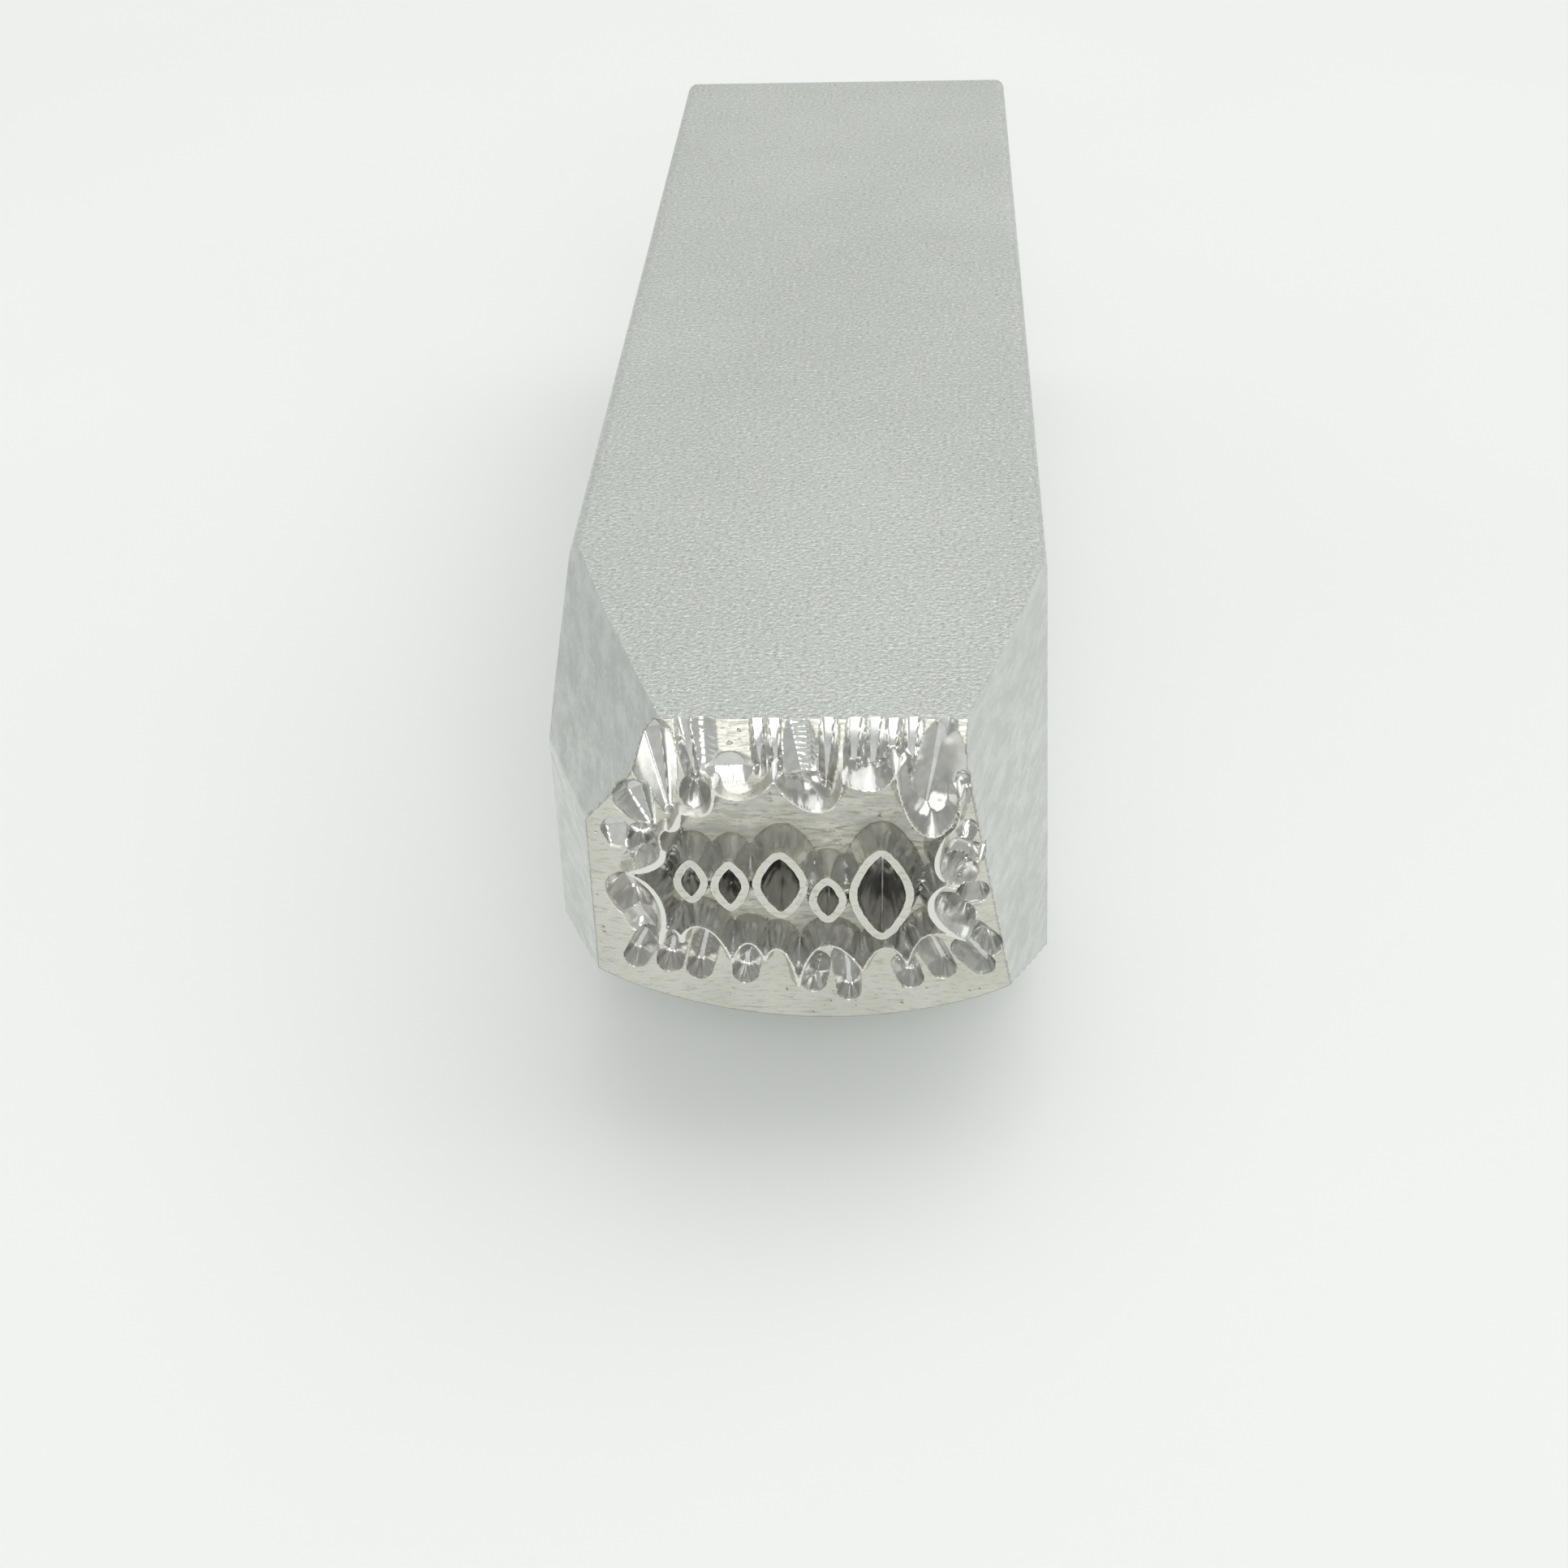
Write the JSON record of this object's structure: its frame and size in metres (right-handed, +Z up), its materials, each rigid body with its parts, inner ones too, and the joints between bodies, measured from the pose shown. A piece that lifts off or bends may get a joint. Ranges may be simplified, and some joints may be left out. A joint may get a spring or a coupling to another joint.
{
  "type": "leather stamping tool",
  "caption": "Square steel bar stamp for leather, with a burst-shaped frame and a row of lozenges engraved in relief on a ground working end; the other end is struck.",
  "frame": {"origin": "middle of the resting side, at half the length of the bar", "axes": "+Z up from the resting side, +Y along the bar from the stamping face to the struck end, +X to the right when looking at the stamping face"},
  "size_m": [0.0126, 0.0508, 0.0127],
  "materials": {
    "steel": "hardened tool steel, fine blasted grey on the bar and bright milled metal on the working face"
  },
  "bodies": {
    "root": {"stamp": "steel"}
  },
  "joints": []
}
